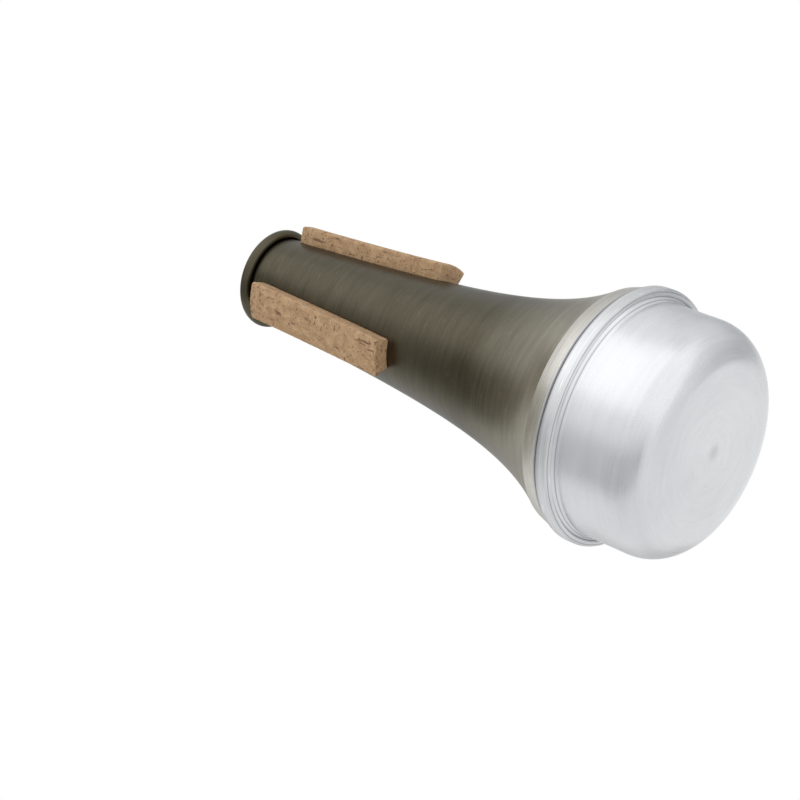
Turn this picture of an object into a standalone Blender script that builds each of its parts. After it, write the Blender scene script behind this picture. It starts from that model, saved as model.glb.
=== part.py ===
# A straight mute: a spun cone that is open at its narrow end, a spun cap locked into a rolled seam
# at its wide end, and three cork strips that hold it where it is pushed in.
# It stands on the cap's flat end. The origin is the centre of that face and +Z runs along the axis,
# towards the open mouth. Sizes are in metres.

import math

import bmesh
import bpy
from mathutils import Matrix, Vector

# Sheet metal, and the clearance that touching pieces keep
SHEET = 0.0009
GAP = 0.0003
TURN_STEPS = 56

# Cap: a bowl with a flat end, a flare at its edge and a collar that the seam holds
CAP_RADIUS = 0.0317
CAP_CORNER = 0.0119
CAP_DEPTH = 0.0243
CAP_FILLET = 0.0014
FLARE_WIDTH = 0.0019
FLARE_ANGLE = math.radians(45)
COLLAR_HEIGHT = 0.0018

# Rolled seam: the cone's rim, burnished over the cap's flare
LIP_LENGTH = 0.0012
LIP_EDGE = 0.0003
SEAM_CREASE_INSET = 0.00085
SEAM_CREASE_DROP = 0.0007
SEAM_CORNER = 0.0005

# Groove that stops the collar, and the pale shoulder above it
GROOVE_ANGLE = math.radians(49)
GROOVE_DEPTH = 0.0011
GROOVE_RISE = 0.00045
SHOULDER_STEP = 0.0008
SHOULDER_HEIGHT = 0.0045
SHOULDER_RISE = 0.0014
SOFT_BEND = 0.0003

# Cone: a slow straight taper, with a flare that dies away from the wide end
CONE_LENGTH = 0.1190
CONE_TAPER = math.radians(3.15)
MOUTH_RADIUS = 0.0123
FLARE_REACH = 0.0229
CONE_STEPS = 12
CONE_CROWDING = 1.7

# Mouth: the edge is rolled outward into an open bead
BEAD_BORE = 0.0007
BEAD_TURN = math.radians(270)
BEAD_STEPS = 9

# Cork strips, glued on behind the bead
CORK_COUNT = 3
CORK_LENGTH = 0.0520
CORK_WIDTH = 0.0100
CORK_THICKNESS = 0.0045
CORK_SETBACK = 0.0045
CORK_EDGE = 0.0008
CORK_STEPS_ALONG = 7
CORK_STEPS_ACROSS = 4

# Places that follow from the sizes above, all measured up the axis from the flat end
collar_radius = CAP_RADIUS + FLARE_WIDTH
flare_top = CAP_DEPTH + FLARE_WIDTH / math.tan(FLARE_ANGLE)
collar_top = flare_top + COLLAR_HEIGHT
seam_radius = collar_radius + GAP + SHEET
seam_bore = collar_radius + GAP
seam_top = collar_top + (GAP + SHEET) * math.tan(GROOVE_ANGLE / 2)
groove_radius = seam_radius - GROOVE_DEPTH
groove_height = seam_top + GROOVE_DEPTH / math.tan(GROOVE_ANGLE)
shoulder_radius = seam_radius - SHOULDER_STEP
shoulder_foot = groove_height + GROOVE_RISE
cone_foot_radius = shoulder_radius - SHOULDER_RISE
cone_foot = shoulder_foot + SHOULDER_HEIGHT
cone_top = cone_foot + CONE_LENGTH
bead_radius = BEAD_BORE + SHEET


def clear_scene():
    for obj in list(bpy.data.objects):
        bpy.data.objects.remove(obj, do_unlink=True)


def make_material(name, colour, roughness, metallic):
    material = bpy.data.materials.new(name)
    material.use_nodes = True
    shader = material.node_tree.nodes["Principled BSDF"]
    shader.inputs["Base Color"].default_value = (*colour, 1)
    shader.inputs["Roughness"].default_value = roughness
    shader.inputs["Metallic"].default_value = metallic
    return material


# Outlines are lists of (radius, height) points.


def point(radius, height):
    return Vector((radius, height))


def arc(centre, radius, start, end, steps):
    angles = [start + (end - start) * step / steps for step in range(steps + 1)]
    return [centre + radius * point(math.cos(a), math.sin(a)) for a in angles]


def rounded_corner(before, corner, after, radius, steps):
    to_before = (before - corner).normalized()
    to_after = (after - corner).normalized()
    half_angle = to_before.angle(to_after) / 2
    room = 0.45 * min((before - corner).length, (after - corner).length)
    radius = min(radius, room * math.tan(half_angle))
    centre = corner + (to_before + to_after).normalized() * radius / math.sin(half_angle)
    first = corner + to_before * radius / math.tan(half_angle) - centre
    last = corner + to_after * radius / math.tan(half_angle) - centre
    turn = last.angle_signed(first)
    return [centre + Matrix.Rotation(turn * step / steps, 2) @ first for step in range(steps + 1)]


def rounded(outline, bends):
    """The outline with some corners rounded. bends maps a corner's number to (radius, steps)."""
    result = []
    for number, corner in enumerate(outline):
        if number in bends:
            radius, steps = bends[number]
            result += rounded_corner(outline[number - 1], corner, outline[number + 1], radius, steps)
        else:
            result.append(corner)
    return result


def inner_side(outline, thickness):
    """The outline moved by the thickness towards its left, with mitred corners."""
    normals = []
    for start, end in zip(outline, outline[1:]):
        along = (end - start).normalized()
        normals.append(point(-along.y, along.x))
    moved = [outline[0] + normals[0] * thickness]
    for corner, first, second in zip(outline[1:], normals, normals[1:]):
        mitre = (first + second).normalized()
        moved.append(corner + mitre * thickness / mitre.dot(first))
    moved.append(outline[-1] + normals[-1] * thickness)
    return moved


def turned(name, outline, material):
    """A closed outline spun round the axis into one solid."""
    mesh_maker = bmesh.new()
    points = [mesh_maker.verts.new((p.x, 0, p.y)) for p in outline]
    edges = [mesh_maker.edges.new(pair) for pair in zip(points, points[1:])]
    if outline[0].x > 0:
        edges.append(mesh_maker.edges.new((points[-1], points[0])))
    bmesh.ops.spin(
        mesh_maker,
        geom=points + edges,
        cent=(0, 0, 0),
        axis=(0, 0, 1),
        angle=math.tau,
        steps=TURN_STEPS,
        use_merge=True,
    )
    return finished(name, mesh_maker, material)


def finished(name, mesh_maker, material):
    bmesh.ops.remove_doubles(mesh_maker, verts=mesh_maker.verts, dist=1e-6)
    bmesh.ops.recalc_face_normals(mesh_maker, faces=mesh_maker.faces)
    mesh = bpy.data.meshes.new(name)
    mesh_maker.to_mesh(mesh)
    mesh_maker.free()
    mesh.materials.append(material)
    mesh.shade_smooth()
    mesh.set_sharp_from_angle(angle=math.radians(25))
    return mesh


def placed(name, mesh, parent):
    obj = bpy.data.objects.new(name, mesh)
    bpy.context.scene.collection.objects.link(obj)
    obj.parent = parent
    return obj


# Cap


def cap_mesh(material):
    outline = [
        point(0, 0),
        point(CAP_RADIUS, 0),
        point(CAP_RADIUS, CAP_DEPTH),
        point(collar_radius, flare_top),
        point(collar_radius, collar_top),
    ]
    outer = rounded(outline, {1: (CAP_CORNER, 7), 2: (CAP_FILLET, 3), 3: (SEAM_CORNER, 2)})
    inner = rounded(
        inner_side(outline, SHEET),
        {1: (CAP_CORNER - SHEET, 7), 2: (CAP_FILLET + SHEET, 3)},
    )
    return turned("end_cap", outer + inner[::-1], material)


# Cone body


def cone_radius(height):
    """The outer radius of the cone between its foot and the bead."""
    straight = MOUTH_RADIUS + (cone_top - height) * math.tan(CONE_TAPER)
    foot_straight = MOUTH_RADIUS + CONE_LENGTH * math.tan(CONE_TAPER)
    flare = (cone_foot_radius - foot_straight) * math.exp((cone_foot - height) / FLARE_REACH)
    return straight + flare


def cone_wall():
    """Points up the cone, closer together where the flare bends most."""
    parts = [(step / CONE_STEPS) ** CONE_CROWDING for step in range(CONE_STEPS + 1)]
    heights = [cone_foot + CONE_LENGTH * part for part in parts]
    return [point(cone_radius(height), height) for height in heights]


def lip_inside():
    """The lip's inner face, which follows the cap's flare: its tip, and its bend into the seam."""
    along = point(math.sin(FLARE_ANGLE), math.cos(FLARE_ANGLE))
    bend_height = flare_top - GAP * math.tan(FLARE_ANGLE / 2)
    bend = point(seam_bore, bend_height)
    return bend - along * LIP_LENGTH, bend


def cone_mesh(material):
    lip_tip, lip_bend = lip_inside()
    lip_outward = point(math.cos(FLARE_ANGLE), -math.sin(FLARE_ANGLE))
    lip = [
        lip_tip + lip_outward * LIP_EDGE,
        point(seam_radius - SEAM_CREASE_INSET, lip_bend.y - SEAM_CREASE_DROP),
        point(seam_radius, lip_bend.y),
    ]
    rim = [
        point(seam_radius, seam_top),
        point(groove_radius, groove_height),
        point(shoulder_radius, shoulder_foot),
    ]
    wall = cone_wall()
    bead_centre = point(MOUTH_RADIUS + BEAD_BORE, cone_top)
    bead_inside = arc(bead_centre, BEAD_BORE, math.pi, math.pi - BEAD_TURN, BEAD_STEPS)
    bead_outside = arc(bead_centre, bead_radius, math.pi, math.pi - BEAD_TURN, BEAD_STEPS)

    outer = rounded(
        lip + rim + wall,
        {2: (SEAM_CORNER, 2), 3: (SEAM_CORNER, 2), 4: (SOFT_BEND, 2), 5: (SOFT_BEND, 1)},
    )
    inner = inner_side([lip[2]] + rim + wall, SHEET)
    inner = rounded(inner, {2: (SOFT_BEND + SHEET, 3)})
    outer = outer[:-1] + bead_inside
    inner = [lip_tip, lip_bend] + inner[1:-1] + bead_outside
    return turned("cone_body", outer + inner[::-1], material)


# Cork strips


def cork_mesh(material):
    """One strip lying along the cone on its +X side, as wide at the foot as at the top."""
    mesh_maker = bmesh.new()
    top = cone_top - bead_radius - CORK_SETBACK
    layers = []
    for lift in (GAP, GAP + CORK_THICKNESS):
        rows = []
        for step in range(CORK_STEPS_ALONG + 1):
            height = top - CORK_LENGTH * step / CORK_STEPS_ALONG
            radius = cone_radius(height) + lift
            half_angle = CORK_WIDTH / 2 / (cone_radius(height) + GAP + CORK_THICKNESS / 2)
            row = []
            for across in range(CORK_STEPS_ACROSS + 1):
                angle = half_angle * (2 * across / CORK_STEPS_ACROSS - 1)
                row.append(mesh_maker.verts.new((radius * math.cos(angle), radius * math.sin(angle), height)))
            rows.append(row)
        layers.append(rows)
    for rows in layers:
        for lower, upper in zip(rows, rows[1:]):
            for a, b, c, d in zip(lower, lower[1:], upper[1:], upper):
                mesh_maker.faces.new((a, b, c, d))
    inside, outside = (border(rows) for rows in layers)
    for number, vertex in enumerate(inside):
        following = (number + 1) % len(inside)
        mesh_maker.faces.new((vertex, inside[following], outside[following], outside[number]))
    bmesh.ops.recalc_face_normals(mesh_maker, faces=mesh_maker.faces)
    outer_edges = [mesh_maker.edges.get(pair) for pair in zip(outside, outside[1:] + outside[:1])]
    bmesh.ops.bevel(
        mesh_maker,
        geom=outer_edges,
        offset=CORK_EDGE,
        segments=2,
        profile=0.5,
        affect="EDGES",
        clamp_overlap=True,
        material=-1,
    )
    return finished("cork_strip", mesh_maker, material)


def border(rows):
    """The vertices round the edge of a grid, in order."""
    left = [row[0] for row in rows]
    right = [row[-1] for row in rows]
    return rows[0][:-1] + right[:-1] + rows[-1][:0:-1] + left[:0:-1]


def build():
    clear_scene()
    aluminium = make_material("satin_aluminium", (0.76, 0.77, 0.79), 0.32, 1.0)
    brushed = make_material("brushed_aluminium", (0.62, 0.61, 0.60), 0.38, 1.0)
    cork = make_material("cork", (0.55, 0.36, 0.20), 0.85, 0.0)

    mute = bpy.data.objects.new("mute", None)
    bpy.context.scene.collection.objects.link(mute)
    placed("end_cap", cap_mesh(aluminium), mute)
    placed("cone_body", cone_mesh(brushed), mute)
    strip = cork_mesh(cork)
    for number in range(CORK_COUNT):
        obj = placed(f"cork_strip_{number + 1}", strip, mute)
        obj.rotation_euler.z = math.tau * number / CORK_COUNT


build()
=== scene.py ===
import math

import bmesh
import bpy
from mathutils import Matrix, Vector, noise


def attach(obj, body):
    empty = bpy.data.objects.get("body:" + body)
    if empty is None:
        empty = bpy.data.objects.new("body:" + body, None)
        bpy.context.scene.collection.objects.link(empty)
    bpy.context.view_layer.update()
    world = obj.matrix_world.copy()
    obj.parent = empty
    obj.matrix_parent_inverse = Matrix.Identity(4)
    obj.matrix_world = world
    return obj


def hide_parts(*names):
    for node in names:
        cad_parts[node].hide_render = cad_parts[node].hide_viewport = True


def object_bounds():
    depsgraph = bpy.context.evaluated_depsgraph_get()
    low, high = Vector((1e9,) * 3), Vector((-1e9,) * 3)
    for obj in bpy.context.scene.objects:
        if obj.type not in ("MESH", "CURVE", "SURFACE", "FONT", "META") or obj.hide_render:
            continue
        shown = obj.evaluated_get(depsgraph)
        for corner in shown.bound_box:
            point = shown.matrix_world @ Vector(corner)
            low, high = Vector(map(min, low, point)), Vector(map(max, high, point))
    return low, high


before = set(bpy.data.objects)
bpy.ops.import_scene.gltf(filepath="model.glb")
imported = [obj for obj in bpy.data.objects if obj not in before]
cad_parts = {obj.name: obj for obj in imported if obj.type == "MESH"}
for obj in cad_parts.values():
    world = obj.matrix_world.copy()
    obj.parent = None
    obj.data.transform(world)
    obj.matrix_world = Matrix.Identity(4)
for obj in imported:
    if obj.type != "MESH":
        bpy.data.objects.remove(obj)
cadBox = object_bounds()
print("frame loaded:", ", ".join(sorted(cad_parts)))


# Objects and shapes
shapeValues = {
    "turnSteps": 288,  # round the axis
    "bendLimit": 0.45,  # the most that a bend takes of the shorter side beside it
    "mergeDistance": 1e-6,
    "cutDistance": 1e-7,
    "sharpAngle": math.radians(32),
}


def addObject(name, data):
    thing = bpy.data.objects.new(name, data)
    bpy.context.scene.collection.objects.link(thing)
    return thing


def addMesh(name, shape, material):
    mesh = bpy.data.meshes.new(name)
    shape.to_mesh(mesh)
    shape.free()
    mesh.materials.append(material)
    return addObject(name, mesh)


def addChain(shape, points, closed=False):  # vertices in a row, joined by edges
    corners = [shape.verts.new(point) for point in points]
    for pair in zip(corners, corners[1:]):
        shape.edges.new(pair)
    if closed:
        shape.edges.new((corners[-1], corners[0]))
    return corners


def spinChain(shape, centre, angle, steps, whole):
    bmesh.ops.spin(
        shape, geom=shape.verts[:] + shape.edges[:], cent=centre, axis=(0, 0, 1),
        angle=angle, steps=steps, use_merge=whole,
    )


def finishPiece(name, shape, material):
    bmesh.ops.remove_doubles(shape, verts=shape.verts, dist=shapeValues["mergeDistance"])
    bmesh.ops.recalc_face_normals(shape, faces=shape.faces)
    piece = addMesh(name, shape, material)
    piece.data.shade_smooth()
    piece.data.set_sharp_from_angle(angle=shapeValues["sharpAngle"])
    print(name, len(piece.data.polygons), "faces")
    return piece


# Camera. In its own space x is right, y is up and z is towards the viewer, in metres.
cameraValues = {
    "lens": 96.75,
    "sensor": 36,
    "nearest": 0.01,
    "baseCentre": Vector((0.07777, -0.01306, -0.53326)),  # centre of the flat end
    "axisTilt": math.radians(53.35),  # from the line of sight
    "axisTurn": math.radians(23.1),  # below level, in the picture
}


def makeCamera(values):
    tilt, turn = values["axisTilt"], values["axisTurn"]
    sideways = math.sin(tilt)
    towardsEnd = Vector((math.cos(turn) * sideways, -math.sin(turn) * sideways, math.cos(tilt)))
    up = -towardsEnd
    base = values["baseCentre"]
    back = (base - base.project(up)).normalized()
    turned = Matrix((back.cross(up), back, up))  # the mute's own x, y and z, as the camera sees them
    data = bpy.data.cameras.new("camera")
    data.lens = values["lens"]
    data.sensor_width = values["sensor"]
    data.clip_start = values["nearest"]
    camera = addObject("camera", data)
    camera.matrix_world = Matrix.Translation(-(turned @ base)) @ turned.to_4x4()
    bpy.context.scene.camera = camera


makeCamera(cameraValues)
print("camera placed")


# Node helpers
def newMaterial(name):
    material = bpy.data.materials.new(name)
    material.use_nodes = True
    tree = material.node_tree
    return material, tree, tree.nodes["Principled BSDF"]


def setSocket(tree, socket, value):
    if isinstance(value, bpy.types.NodeSocket):
        tree.links.new(value, socket)
    else:
        socket.default_value = value


def addNode(tree, kind, values=None, **settings):
    node = tree.nodes.new(kind)
    for key, value in settings.items():
        setattr(node, key, value)
    for name, value in (values or {}).items():
        setSocket(tree, node.inputs[name], value)
    return node


def maths(tree, operation, first, second=0.0):
    return addNode(tree, "ShaderNodeMath", {0: first, 1: second}, operation=operation).outputs[0]


def remap(tree, value, low, high, outLow=0.0, outHigh=1.0, kind="LINEAR"):
    values = {"Value": value, "From Min": low, "From Max": high, "To Min": outLow, "To Max": outHigh}
    return addNode(tree, "ShaderNodeMapRange", values, interpolation_type=kind).outputs["Result"]


def mixColour(tree, factor, first, second, blend="MIX"):
    node = addNode(tree, "ShaderNodeMix", data_type="RGBA", blend_type=blend)
    for number, value in ((0, factor), (6, first), (7, second)):  # 6 and 7 are its colour sockets
        setSocket(tree, node.inputs[number], (*value, 1) if isinstance(value, tuple) else value)
    return node.outputs[2]


def shadeColour(tree, colour, shade):  # the colour times a grey of that brightness
    grey = addNode(tree, "ShaderNodeCombineColor", {"Red": shade, "Green": shade, "Blue": shade}).outputs[0]
    return mixColour(tree, 1.0, colour, grey, "MULTIPLY")


def addBump(tree, shader, height, distance, strength):
    bump = addNode(tree, "ShaderNodeBump", {"Height": height, "Distance": distance, "Strength": strength})
    tree.links.new(bump.outputs[0], shader.inputs["Normal"])


def newGroup(name, inputs, outputs):
    group = bpy.data.node_groups.new(name, "ShaderNodeTree")
    for label, default in inputs.items():
        socket = group.interface.new_socket(name=label, in_out="INPUT", socket_type="NodeSocketFloat")
        socket.default_value = default
    for label in outputs:
        group.interface.new_socket(name=label, in_out="OUTPUT", socket_type="NodeSocketFloat")
    start = group.nodes.new("NodeGroupInput")
    end = group.nodes.new("NodeGroupOutput")
    return group, start.outputs, end.inputs


def placeGroup(tree, group, values):
    node = addNode(tree, "ShaderNodeGroup", node_tree=group)
    for label, value in values.items():
        setSocket(tree, node.inputs[label], value)
    return node.outputs


def alongAxis(tree):  # radius from the axis, height, and the way round as a unit vector
    place = addNode(tree, "ShaderNodeTexCoord").outputs["Object"]
    split = addNode(tree, "ShaderNodeSeparateXYZ", {0: place}).outputs
    flat = addNode(tree, "ShaderNodeCombineXYZ", {"X": split["X"], "Y": split["Y"]}).outputs[0]
    radius = addNode(tree, "ShaderNodeVectorMath", {0: flat}, operation="LENGTH").outputs["Value"]
    wayRound = addNode(tree, "ShaderNodeVectorMath", {0: flat}, operation="NORMALIZE").outputs[0]
    return radius, split["Z"], wayRound


# Shared effects
def makeTurnedLines():  # fine lines that run round the axis, on walls and on flat faces alike
    outputs = ["Lines", "Bands", "Scratches"]
    group, given, wanted = newGroup("turnedLines", {"Lines per metre": 5000, "Breaks": 5}, outputs)
    radius, height, wayRound = alongAxis(group)
    split = addNode(group, "ShaderNodeSeparateXYZ", {0: wayRound}).outputs
    layers = (  # how close and how broken they are against the inputs, detail, and what counts as one
        ("Lines", 1.0, 1, 2, 0.25, 0.75),
        ("Bands", 0.13, 1, 1, 0.25, 0.75),
        ("Scratches", 0.8, 5, 0, 0.70, 0.80),
    )
    for label, closer, shorter, detail, low, high in layers:
        perMetre = maths(group, "MULTIPLY", given["Lines per metre"], closer)
        breaks = maths(group, "MULTIPLY", given["Breaks"], shorter)
        around = {
            "X": maths(group, "MULTIPLY", split["X"], breaks),
            "Y": maths(group, "MULTIPLY", split["Y"], breaks),
            "Z": maths(group, "MULTIPLY", radius, perMetre),
        }
        vector = addNode(group, "ShaderNodeCombineXYZ", around).outputs[0]
        along = maths(group, "MULTIPLY", height, perMetre)
        values = {"Vector": vector, "W": along, "Scale": 1, "Detail": detail}
        wave = addNode(group, "ShaderNodeTexNoise", values, noise_dimensions="4D").outputs["Fac"]
        group.links.new(remap(group, wave, low, high), wanted[label])
    return group


def makeHandling():  # soft patches where hands and cloths have been, and a few small rubbed spots
    outputs = ["Patches", "Spots"]
    group, given, wanted = newGroup("handling", {"Patches per metre": 40, "Offset": 0}, outputs)
    place = addNode(group, "ShaderNodeTexCoord").outputs["Object"]
    layers = (("Patches", 1, 0.38, 0.66), ("Spots", 9, 0.60, 0.78))  # how fine, and what counts as one
    for label, finer, low, high in layers:
        scale = maths(group, "MULTIPLY", given["Patches per metre"], finer)
        values = {"Vector": place, "W": given["Offset"], "Scale": scale, "Detail": 3, "Distortion": 0.6}
        wave = addNode(group, "ShaderNodeTexNoise", values, noise_dimensions="4D").outputs["Fac"]
        group.links.new(remap(group, wave, low, high, kind="SMOOTHSTEP"), wanted[label])
    return group


def makeRingMask():  # 1 inside a narrow ring of heights, 0 outside, with a soft edge
    inputs = {"Height": 0, "Half width": 0.001, "Softness": 0.0005}
    group, given, wanted = newGroup("ringMask", inputs, ["Mask"])
    height = alongAxis(group)[1]
    off = maths(group, "ABSOLUTE", maths(group, "SUBTRACT", height, given["Height"]))
    inside = maths(group, "SUBTRACT", given["Half width"], off)
    soft = maths(group, "DIVIDE", inside, given["Softness"])
    group.links.new(remap(group, soft, 0, 1, kind="SMOOTHSTEP"), wanted["Mask"])
    return group


turnedLines = makeTurnedLines()
handling = makeHandling()
ringMask = makeRingMask()
print("shared effects made")


# Spun sheet metal, the same for the cap and the cone
sheetMetal = {
    "thickness": 0.0009,
    "gap": 0.0003,  # between the two where they are rolled together
    "breaks": 1.8,  # in the turned lines
    "patchesPerMetre": 34,
    "patchOffset": 2,
    "patchShades": (0.97, 1.02),
    "lineRoughness": (-0.03, 0.05),  # in a line and beside it, against the piece's own
    "markRoughness": {"Patches": 0.05, "Spots": 0.04},
    "bandRelief": 0.6,  # against the lines
    "bumpStrength": 0.5,
}


def metalSurface(tree, shader, values, colour):
    lineInputs = {"Lines per metre": values["linesPerMetre"], "Breaks": sheetMetal["breaks"]}
    lines = placeGroup(tree, turnedLines, lineInputs)
    markInputs = {"Patches per metre": sheetMetal["patchesPerMetre"], "Offset": sheetMetal["patchOffset"]}
    marks = placeGroup(tree, handling, markInputs)
    shade = remap(tree, lines["Lines"], 0, 1, *values["lineShades"])
    otherShades = (
        (lines["Bands"], values["bandShades"]),
        (marks["Patches"], sheetMetal["patchShades"]),
        (lines["Scratches"], (1.0, values["scratchShade"])),
    )
    for mask, shades in otherShades:
        shade = maths(tree, "MULTIPLY", shade, remap(tree, mask, 0, 1, *shades))
    tree.links.new(shadeColour(tree, colour, shade), shader.inputs["Base Color"])
    smoothest, roughest = (values["roughness"] + change for change in sheetMetal["lineRoughness"])
    rough = remap(tree, lines["Lines"], 0, 1, smoothest, roughest)
    for label, extra in sheetMetal["markRoughness"].items():
        rough = maths(tree, "ADD", rough, remap(tree, marks[label], 0, 1, 0.0, extra))
    tree.links.new(rough, shader.inputs["Roughness"])
    bands = maths(tree, "MULTIPLY", lines["Bands"], sheetMetal["bandRelief"])
    relief = maths(tree, "ADD", lines["Lines"], bands)
    addBump(tree, shader, relief, values["lineDepth"], sheetMetal["bumpStrength"])
    shader.inputs["Metallic"].default_value = 1.0
    shader.inputs["Anisotropic"].default_value = values["anisotropy"]


def addCreaseShade(tree, colour, values, at):
    # painted shade lines in creases and grooves: a line is the place it is measured from, its rise above
    # that, its half width and its strength
    for place, rise, halfWidth, strength in values["creaseShadeLines"]:
        ring = {"Height": at[place] + rise, "Half width": halfWidth, "Softness": halfWidth}
        line = placeGroup(tree, ringMask, ring)["Mask"]
        colour = mixColour(tree, maths(tree, "MULTIPLY", line, strength), colour, values["creaseShadeColour"])
    return colour


def offsetLine(points, thickness):  # the same outline, moved to its left, with mitred corners
    normals = []
    for start, end in zip(points, points[1:]):
        along = (end - start).normalized()
        normals.append(Vector((-along.y, along.x)))
    moved = [points[0] + normals[0] * thickness]
    for corner, first, second in zip(points[1:], normals, normals[1:]):
        mitre = (first + second).normalized()
        moved.append(corner + mitre * thickness / mitre.dot(first))
    moved.append(points[-1] + normals[-1] * thickness)
    return moved


def spinOutline(name, points, bends, closed, material):
    # a point is radius and height, and bends gives the radius and segments of each rounded corner
    shape = bmesh.new()
    corners = addChain(shape, [(point.x, 0, point.y) for point in points], closed)
    for number, (radius, segments) in bends.items():
        corner = corners[number]
        before, after = (edge.other_vert(corner).co - corner.co for edge in corner.link_edges)
        reach = radius / math.tan(before.angle(after) / 2)
        reach = min(reach, shapeValues["bendLimit"] * min(before.length, after.length))
        bmesh.ops.bevel(
            shape, geom=[corner], offset=reach, segments=segments, profile=0.5,
            affect="VERTICES", material=-1,
        )
    spinChain(shape, (0, 0, 0), math.tau, shapeValues["turnSteps"], True)
    return finishPiece(name, shape, material)


# Cap: a bowl with a flat end, a flare at its edge and a collar inside the seam. A bend is radius, segments.
capValues = {
    "radius": 0.0317,
    "corner": 0.0119,
    "cornerSegments": (28, 16),  # outside, inside
    "depth": 0.0243,
    "fillet": 0.0014,
    "filletSegments": (6, 4),
    "flareWidth": 0.0019,
    "flareAngle": math.radians(45),
    "flareBend": (0.0005, 5),
    "collarHeight": 0.0018,
    "collarBend": (0.00012, 2),
    "centreMark": 0.0016,  # a shallow turning mark in the middle of the flat end
    "centreFloor": 0.45,  # of the mark's radius
    "centreDepth": 0.00015,
    "centreBends": ((0.0008, 3), (0.0010, 3)),
    "colour": (0.70, 0.71, 0.725),
    "dullColour": (0.64, 0.65, 0.67),
    "dullPerMetre": 22,
    "dullOffset": 7,
    # painted shade in the crease at the foot of the flare
    "creaseShadeColour": (0.16, 0.17, 0.20),
    "creaseShadeLines": (("depth", 0.0004, 0.0002, 0.6),),
    # painted shade at the middle of the flat end
    "centreShadeColour": (0.40, 0.41, 0.43),
    "centreShadeFade": (0.0004, 0.0032),
    "centreShadeStrength": 0.40,
    "roughness": 0.27,
    "linesPerMetre": 5200,
    "lineDepth": 0.000009,
    "lineShades": (0.955, 1.035),
    "bandShades": (0.975, 1.02),
    "scratchShade": 0.93,
    "anisotropy": 0.55,
}


def capMaterial(values):
    material, tree, shader = newMaterial("satinAluminium")
    markInputs = {"Patches per metre": values["dullPerMetre"], "Offset": values["dullOffset"]}
    marks = placeGroup(tree, handling, markInputs)
    colour = mixColour(tree, marks["Patches"], values["colour"], values["dullColour"])
    # painted shade in the crease at the foot of the flare
    colour = addCreaseShade(tree, colour, values, values)
    radius = alongAxis(tree)[0]
    # painted shade at the middle of the flat end
    centreShade = remap(tree, radius, *values["centreShadeFade"], values["centreShadeStrength"], 0.0, kind="SMOOTHSTEP")
    colour = mixColour(tree, centreShade, colour, values["centreShadeColour"])
    metalSurface(tree, shader, values, colour)
    return material


def capPlaces(values):  # the collar's radius, and the heights of its foot and its edge
    collar = values["radius"] + values["flareWidth"]
    flareTop = values["depth"] + values["flareWidth"] / math.tan(values["flareAngle"])
    return collar, flareTop, flareTop + values["collarHeight"]


def makeCap(values, material):
    collar, flareTop, collarTop = capPlaces(values)
    thickness, corner, fillet = sheetMetal["thickness"], values["corner"], values["fillet"]
    outside = [
        Vector((0, values["centreDepth"])),
        Vector((values["centreMark"] * values["centreFloor"], values["centreDepth"])),
        Vector((values["centreMark"], 0)),
        Vector((values["radius"], 0)),
        Vector((values["radius"], values["depth"])),
        Vector((collar, flareTop)),
        Vector((collar, collarTop)),
    ]
    inside = offsetLine([Vector((0, 0))] + outside[3:], thickness)
    points = outside + inside[::-1]
    last = len(points) - 1
    bends = {
        1: values["centreBends"][0],
        2: values["centreBends"][1],
        3: (corner, values["cornerSegments"][0]),
        4: (fillet, values["filletSegments"][0]),
        5: values["flareBend"],
        6: values["collarBend"],
        last - 1: (corner - thickness, values["cornerSegments"][1]),
        last - 2: (fillet + thickness, values["filletSegments"][1]),
    }
    return spinOutline("capBowl", points, bends, False, material)


cap = makeCap(capValues, capMaterial(capValues))
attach(cap, "root")
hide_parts("end_cap")


# Cone, with its rim rolled over the cap's flare and a bead rolled at its mouth. A bend is radius, segments.
coneValues = {
    "lipLength": 0.0012,
    "lipEdge": 0.0003,
    "lipFit": 0.00026,  # the burnished lip lies against the cap's flare
    "lipBend": (0.0001, 2),
    "creaseInset": 0.00085,
    "creaseDrop": 0.0007,
    "creaseBend": (0.0002, 4),
    "seamBend": (0.0005, 7),
    "grooveAngle": math.radians(49),
    "grooveDepth": 0.0011,
    "grooveRise": 0.00045,
    "grooveBends": ((0.0003, 5), (0.0006, 3)),  # outside, inside
    "shoulderStep": 0.0008,
    "shoulderHeight": 0.0045,
    "shoulderRise": 0.0014,
    "shoulderBend": (0.0003, 4),
    "footBend": (0.0005, 4),
    "length": 0.1190,
    "taper": math.radians(3.15),
    "mouthRadius": 0.0123,
    "flareReach": 0.0229,
    "steps": 44,
    "crowding": 1.7,  # of the steps towards the foot
    "beadBore": 0.0007,
    "beadTurn": math.radians(270),
    "beadSteps": 26,
    "bandColour": (0.68, 0.69, 0.70),
    "bandOverlap": 0.00005,  # how far its colour runs onto the shoulder
    # the shoulder's metal with a painted warm reflection
    "shoulderReflectionColour": (0.58, 0.565, 0.52),
    # painted warm reflection at the foot and painted shade at the neck, not the metal's own colour
    "footReflectionColour": (0.31, 0.29, 0.225),
    "neckShadeColour": (0.092, 0.082, 0.056),
    "shadeDeepensOver": 0.03155,  # over which the painted warm reflection at the foot darkens to painted shade at the neck
    # painted shade in the groove, beside it and in the lip's crease
    "creaseShadeColour": (0.10, 0.10, 0.11),
    "creaseShadeLines": (
        ("groove", 0, 0.00065, 0.85),
        ("groove", -0.0008, 0.0013, 0.30),
        ("crease", 0.000075, 0.00015, 0.6),
    ),
    "roughness": 0.30,
    "linesPerMetre": 4300,
    "lineDepth": 0.000022,
    "lineShades": (0.78, 1.14),
    "bandShades": (0.88, 1.09),
    "scratchShade": 1.32,
    "anisotropy": 0.6,
}


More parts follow.
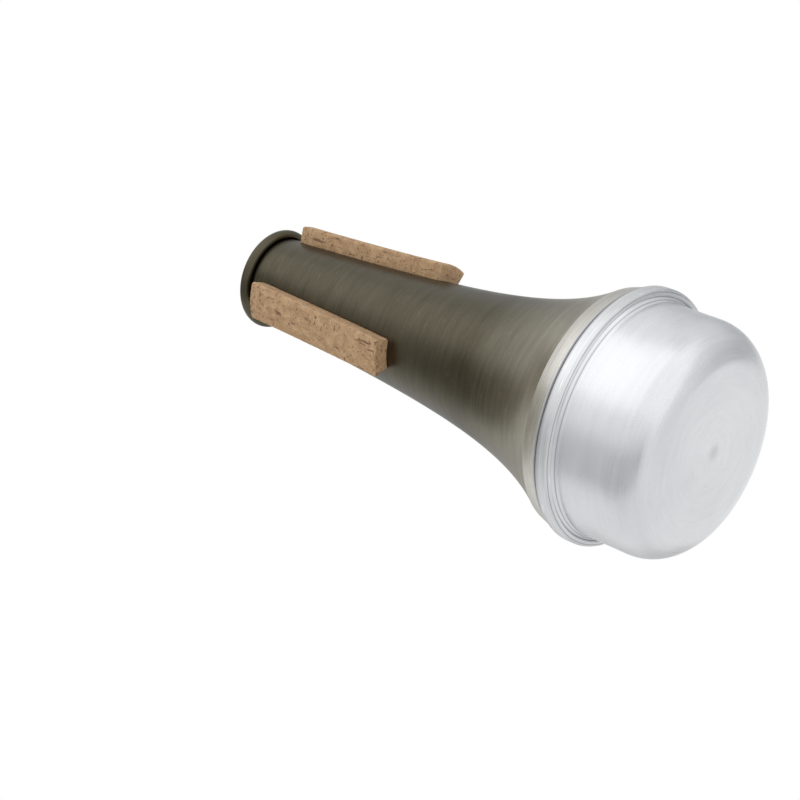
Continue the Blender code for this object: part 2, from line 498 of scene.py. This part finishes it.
def conePlaces(values):
    collar, flareTop, collarTop = capPlaces(capValues)
    gap = sheetMetal["gap"]
    cover = gap + sheetMetal["thickness"]
    seamRadius = collar + cover
    shoulderRadius = seamRadius - values["shoulderStep"]
    lipBend = flareTop - gap * math.tan(capValues["flareAngle"] / 2)
    seamTop = collarTop + cover * math.tan(values["grooveAngle"] / 2)
    groove = seamTop + values["grooveDepth"] / math.tan(values["grooveAngle"])
    shoulderFoot = groove + values["grooveRise"]
    foot = shoulderFoot + values["shoulderHeight"]
    return {
        "boreRadius": collar + gap,
        "seamRadius": seamRadius,
        "grooveRadius": seamRadius - values["grooveDepth"],
        "shoulderRadius": shoulderRadius,
        "footRadius": shoulderRadius - values["shoulderRise"],
        "lipBend": lipBend,  # this and the rest are heights
        "crease": lipBend - values["creaseDrop"],
        "seamTop": seamTop,
        "groove": groove,
        "shoulderFoot": shoulderFoot,
        "foot": foot,
        "top": foot + values["length"],
    }


def coneMaterial(values):
    material, tree, shader = newMaterial("brushedAluminium")
    at = conePlaces(values)
    height = alongAxis(tree)[1]
    # painted warm reflection at the foot, darkening to painted shade towards the neck
    shadeTowardsNeck = remap(tree, height, at["foot"], at["foot"] + values["shadeDeepensOver"])
    colour = mixColour(tree, shadeTowardsNeck, values["footReflectionColour"], values["neckShadeColour"])
    aboveFoot = maths(tree, "GREATER_THAN", height, at["foot"])
    # the shoulder's metal with a painted warm reflection
    colour = mixColour(tree, aboveFoot, values["shoulderReflectionColour"], colour)
    aboveBand = maths(tree, "GREATER_THAN", height, at["shoulderFoot"] + values["bandOverlap"])
    colour = mixColour(tree, aboveBand, values["bandColour"], colour)
    # painted shade in the groove and in the lip's crease
    colour = addCreaseShade(tree, colour, values, at)
    metalSurface(tree, shader, values, colour)
    return material


def coneRadius(height):  # a straight taper, and a flare that dies away from the foot
    values, at = coneValues, conePlaces(coneValues)
    slope = math.tan(values["taper"])
    straight = values["mouthRadius"] + (at["top"] - height) * slope
    flare = at["footRadius"] - (values["mouthRadius"] + values["length"] * slope)
    return straight + flare * math.exp((at["foot"] - height) / values["flareReach"])


def beadArc(centre, radius, turn, steps):
    angles = [math.pi - turn * step / steps for step in range(steps + 1)]
    return [centre + radius * Vector((math.cos(angle), math.sin(angle))) for angle in angles]


def makeCone(values, material):
    at = conePlaces(values)
    thickness, flareAngle = sheetMetal["thickness"], capValues["flareAngle"]
    bend = Vector((at["boreRadius"], at["lipBend"]))
    outward = Vector((math.cos(flareAngle), -math.sin(flareAngle)))
    edge = bend - Vector((math.sin(flareAngle), math.cos(flareAngle))) * values["lipLength"]
    tip = edge - outward * values["lipFit"]
    lip = [
        edge + outward * values["lipEdge"],
        Vector((at["seamRadius"] - values["creaseInset"], at["crease"])),
        Vector((at["seamRadius"], at["lipBend"])),
    ]
    rim = [
        Vector((at["seamRadius"], at["seamTop"])),
        Vector((at["grooveRadius"], at["groove"])),
        Vector((at["shoulderRadius"], at["shoulderFoot"])),
    ]
    shares = [(step / values["steps"]) ** values["crowding"] for step in range(values["steps"] + 1)]
    heights = [at["foot"] + values["length"] * share for share in shares]
    wall = [Vector((coneRadius(height), height)) for height in heights]
    beadCentre = Vector((values["mouthRadius"] + values["beadBore"], at["top"]))
    outerBead = beadArc(beadCentre, values["beadBore"] + thickness, values["beadTurn"], values["beadSteps"])
    innerBead = beadArc(beadCentre, values["beadBore"], values["beadTurn"], values["beadSteps"])
    inside = offsetLine([lip[2]] + rim + wall, thickness)
    outline = lip + rim + wall[:-1] + innerBead
    back = [tip, bend] + inside[1:-1] + outerBead
    points = outline + back[::-1]
    last = len(points) - 1
    bends = {
        0: values["lipBend"],
        1: values["creaseBend"],
        2: values["seamBend"],
        3: values["seamBend"],
        4: values["grooveBends"][0],
        5: values["shoulderBend"],
        6: values["footBend"],
        last - 3: values["grooveBends"][1],
    }
    return spinOutline("coneShell", points, bends, True, material)


cone = makeCone(coneValues, coneMaterial(coneValues))
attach(cone, "root")
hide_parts("cone_body")
print("metal pieces made")


# Cork strips
corkValues = {
    "count": 3,
    "length": 0.0520,
    "width": 0.0100,
    "thickness": 0.0048,  # to the cone itself, glue included
    "setback": 0.0045,  # from the bead
    "edge": 0.0007,
    "edgeSegments": 5,
    "alongCuts": 104,
    "acrossCuts": 22,
    "pitDepth": 0.00016,
    "pitsPerMetre": 900,
    "smallPits": (2.3, 0.4),  # how much finer and how deep, against the others
    "pitsFrom": 0.05,
    "colour": (0.46, 0.275, 0.135),
    "paleColour": (0.61, 0.40, 0.22),
    "darkColour": (0.16, 0.080, 0.035),
    "darkStrength": 0.85,
    "grainPerMetre": 420,
    "grainRange": (0.35, 0.65),
    "flecksPerMetre": 1100,
    "fleckRange": (0.60, 0.68),
    "streaksPerMetre": (900, 900, 160),
    "streakRange": (0.64, 0.72),
    "cellsPerMetre": 900,
    "cellWall": 0.12,  # of a cell
    "wallShade": 0.82,
    "roughGrain": (0.3, 0.7),
    "roughness": (0.70, 0.88),
    "fleckRelief": 0.9,
    "relief": 0.00012,
    "bumpStrength": 0.7,
}


def corkMaterial(values):
    material, tree, shader = newMaterial("sheetCork")
    place = addNode(tree, "ShaderNodeTexCoord").outputs["Object"]
    grainInputs = {"Vector": place, "Scale": values["grainPerMetre"], "Detail": 4}
    grain = addNode(tree, "ShaderNodeTexNoise", grainInputs).outputs["Fac"]
    fleckInputs = {"Vector": place, "Scale": values["flecksPerMetre"], "Detail": 2, "Distortion": 0.8}
    flecks = addNode(tree, "ShaderNodeTexNoise", fleckInputs).outputs["Fac"]
    lengthways = addNode(tree, "ShaderNodeMapping", {"Vector": place, "Scale": values["streaksPerMetre"]})
    streakInputs = {"Vector": lengthways.outputs[0], "Scale": 1, "Detail": 2}
    streaks = addNode(tree, "ShaderNodeTexNoise", streakInputs).outputs["Fac"]
    cellInputs = {"Vector": place, "Scale": values["cellsPerMetre"]}
    cells = addNode(tree, "ShaderNodeTexVoronoi", cellInputs, feature="DISTANCE_TO_EDGE").outputs[0]
    pale = remap(tree, grain, *values["grainRange"])
    colour = mixColour(tree, pale, values["colour"], values["paleColour"])
    fleckMask = remap(tree, flecks, *values["fleckRange"])
    streakMask = remap(tree, streaks, *values["streakRange"])
    dark = maths(tree, "MAXIMUM", fleckMask, streakMask)
    darkening = maths(tree, "MULTIPLY", dark, values["darkStrength"])
    colour = mixColour(tree, darkening, colour, values["darkColour"])
    walls = remap(tree, cells, 0.0, values["cellWall"], values["wallShade"], 1.0)
    tree.links.new(shadeColour(tree, colour, walls), shader.inputs["Base Color"])
    rough = remap(tree, grain, *values["roughGrain"], *values["roughness"])
    tree.links.new(rough, shader.inputs["Roughness"])
    relief = maths(tree, "SUBTRACT", walls, maths(tree, "MULTIPLY", dark, values["fleckRelief"]))
    addBump(tree, shader, relief, values["relief"], values["bumpStrength"])
    return material


def cutAcross(shape, start, end, cuts, along):
    step = (end - start) / (cuts + 1)
    for number in range(1, cuts + 1):
        bmesh.ops.bisect_plane(
            shape, geom=shape.verts[:] + shape.edges[:] + shape.faces[:], dist=shapeValues["cutDistance"],
            plane_co=along * (start + step * number), plane_no=along,
        )


def makeCork(number, values, material):
    # a flat strip first: x is its thickness, y its width and z its height on the cone
    length, width, thickness = values["length"], values["width"], values["thickness"]
    bead = coneValues["beadBore"] + sheetMetal["thickness"]
    top = conePlaces(coneValues)["top"] - bead - values["setback"]
    shape = bmesh.new()
    middle = Matrix.Translation((thickness / 2, 0, top - length / 2))
    bmesh.ops.create_cube(shape, size=1, matrix=middle @ Matrix.Diagonal((thickness, width, length, 1)))
    front = max(shape.faces, key=lambda face: face.calc_center_median().x)
    edges = [edge for edge in shape.edges if any(vertex in front.verts for vertex in edge.verts)]
    bmesh.ops.bevel(
        shape, geom=edges, offset=values["edge"], segments=values["edgeSegments"], profile=0.5,
        affect="EDGES", material=-1,
    )
    cutAcross(shape, top - length, top, values["alongCuts"], Vector((0, 0, 1)))
    cutAcross(shape, -width / 2, width / 2, values["acrossCuts"], Vector((0, 1, 0)))
    # then each point is pitted and laid on the cone
    turn = math.tau * number / values["count"]
    finer, weaker = values["smallPits"]
    for vertex in shape.verts:
        lift, across, height = vertex.co
        seed = Vector((lift, across + number, height)) * values["pitsPerMetre"]
        wave = noise.noise(seed) + weaker * noise.noise(seed * finer)
        pits = max(0.0, wave - values["pitsFrom"])
        lift -= min(1.0, lift / values["edge"]) * pits * values["pitDepth"]
        surface = coneRadius(height)
        angle = turn + across / (surface + thickness / 2)
        radius = surface + lift
        vertex.co = (radius * math.cos(angle), radius * math.sin(angle), height)
    return finishPiece(f"corkStrip{number + 1}", shape, material)


sheetCork = corkMaterial(corkValues)
for number in range(corkValues["count"]):
    strip = makeCork(number, corkValues, sheetCork)
    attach(strip, "root")
    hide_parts(f"cork_strip_{number + 1}")
print("cork strips made")


# Studio. Azimuth 0 is the camera's side and 90 is +X; elevation is above the horizon.
studio = {
    "floorDrop": 0.0003,
    "floorRadius": 3.0,
    "floorSides": 96,
    "floorColour": (0.86, 0.86, 0.86),
    "floorRoughness": 0.9,
    "whiteFade": (0.35, 1.6),  # the floor turns white between these distances
    "worldLight": 0.55,
    "lamps": {  # azimuth, elevation, distance, width, height, radiance
        "key": (38, 36, 0.7, 0.50, 0.55, 1.0),
        "top": (150, 78, 0.9, 0.60, 0.60, 2.8),
        "front": (-35, 30, 1.2, 0.7, 0.5, 0.5),
    },
    "cards": {  # azimuth from and to, elevation from and to, colour
        "brightSide": (5, 70, -14, 62, (1.52, 1.53, 1.54)),
        "brightLow": (5, 92, -78, -14, (1.34, 1.35, 1.36)),
        "lowerDark": (-70, -27, -62, 52, (0.57, 0.575, 0.59)),
        "upperPale": (104, 128, -50, 62, (0.85, 0.86, 0.87)),
        "upperDark": (128, 157, -50, 62, (0.58, 0.59, 0.60)),
        "backDark": (196, 228, -12, 62, (0.66, 0.66, 0.66)),
        "overheadDark": (-104, -2, 53, 90, (0.25, 0.23, 0.18)),
        "overheadFar": (80, 165, 76, 90, (0.35, 0.32, 0.26)),
    },
    "cardRadius": 0.55,
    "cardHeight": 0.03,  # of the point that the cards curve round
    "cardSteps": 12,
}


def direction(azimuth, elevation):
    turn, rise = math.radians(azimuth), math.radians(elevation)
    flat = math.cos(rise)
    return Vector((math.sin(turn) * flat, -math.cos(turn) * flat, math.sin(rise)))


def makeLamp(name, azimuth, elevation, distance, width, height, radiance):
    data = bpy.data.lights.new(name, "AREA")
    data.shape = "RECTANGLE"
    data.size, data.size_y = width, height
    data.energy = radiance * math.pi * width * height
    lamp = addObject(name, data)
    middle = (cadBox[0] + cadBox[1]) / 2
    way = direction(azimuth, elevation)
    lamp.location = middle + way * distance
    lamp.rotation_euler = way.to_track_quat("Z", "Y").to_euler()
    lamp.visible_camera = False
    lamp.visible_glossy = False


def makeCard(name, start, end, low, high, colour):  # a curved card that only reflections see
    material, tree, shader = newMaterial(name)
    glow = addNode(tree, "ShaderNodeEmission", {"Color": (*colour, 1), "Strength": 1.0})
    tree.links.new(glow.outputs[0], tree.nodes["Material Output"].inputs["Surface"])
    tree.nodes.remove(shader)
    centre = Vector((0, 0, studio["cardHeight"]))
    steps = studio["cardSteps"]
    heights = [low + (high - low) * step / steps for step in range(steps + 1)]
    shape = bmesh.new()
    addChain(shape, [centre + direction(start, height) * studio["cardRadius"] for height in heights])
    spinChain(shape, centre, math.radians(end - start), steps, False)
    card = addMesh(name, shape, material)
    card.visible_camera = False
    card.visible_diffuse = False
    card.visible_shadow = False


def makeFloor(values):  # seen from above only, and white far off
    material, tree, shader = newMaterial("paleFloor")
    shader.inputs["Base Color"].default_value = (*values["floorColour"], 1)
    shader.inputs["Roughness"].default_value = values["floorRoughness"]
    shader.inputs["Specular IOR Level"].default_value = 0.0
    fade = remap(tree, alongAxis(tree)[0], *values["whiteFade"], kind="SMOOTHSTEP")
    below = addNode(tree, "ShaderNodeNewGeometry").outputs["Backfacing"]
    clear = addNode(tree, "ShaderNodeBsdfTransparent").outputs[0]
    white = addNode(tree, "ShaderNodeEmission", {"Color": (1, 1, 1, 1), "Strength": 1.0}).outputs[0]
    seen = addNode(tree, "ShaderNodeMixShader", {0: fade, 1: shader.outputs[0], 2: white}).outputs[0]
    both = addNode(tree, "ShaderNodeMixShader", {0: below, 1: seen, 2: clear}).outputs[0]
    tree.links.new(both, tree.nodes["Material Output"].inputs["Surface"])
    shape = bmesh.new()
    bmesh.ops.create_circle(
        shape, cap_ends=True, radius=values["floorRadius"], segments=values["floorSides"],
        matrix=Matrix.Translation((0, 0, -values["floorDrop"])),
    )
    floor = addMesh("floor", shape, material)
    floor.visible_glossy = False
    floor.visible_shadow = False


def makeWorld(values):  # plain white to look at, and dimmer as a light
    world = bpy.data.worlds.new("studioWorld")
    bpy.context.scene.world = world
    world.use_nodes = True
    tree = world.node_tree
    tree.nodes.clear()
    path = addNode(tree, "ShaderNodeLightPath").outputs
    seen = maths(tree, "MAXIMUM", path["Is Camera Ray"], path["Is Glossy Ray"])
    seen = maths(tree, "MAXIMUM", seen, path["Is Transmission Ray"])
    light = {"Color": (1, 1, 1, 1), "Strength": values["worldLight"]}
    plain = addNode(tree, "ShaderNodeBackground", light).outputs[0]
    white = addNode(tree, "ShaderNodeBackground", {"Color": (1, 1, 1, 1), "Strength": 1.0}).outputs[0]
    mixed = addNode(tree, "ShaderNodeMixShader", {0: seen, 1: plain, 2: white}).outputs[0]
    end = addNode(tree, "ShaderNodeOutputWorld")
    tree.links.new(mixed, end.inputs["Surface"])


makeWorld(studio)
makeFloor(studio)
for name, lampValues in studio["lamps"].items():
    makeLamp(name, *lampValues)
for name, cardValues in studio["cards"].items():
    makeCard(name, *cardValues)
bpy.context.scene.view_settings.view_transform = "Standard"
print("studio ready")
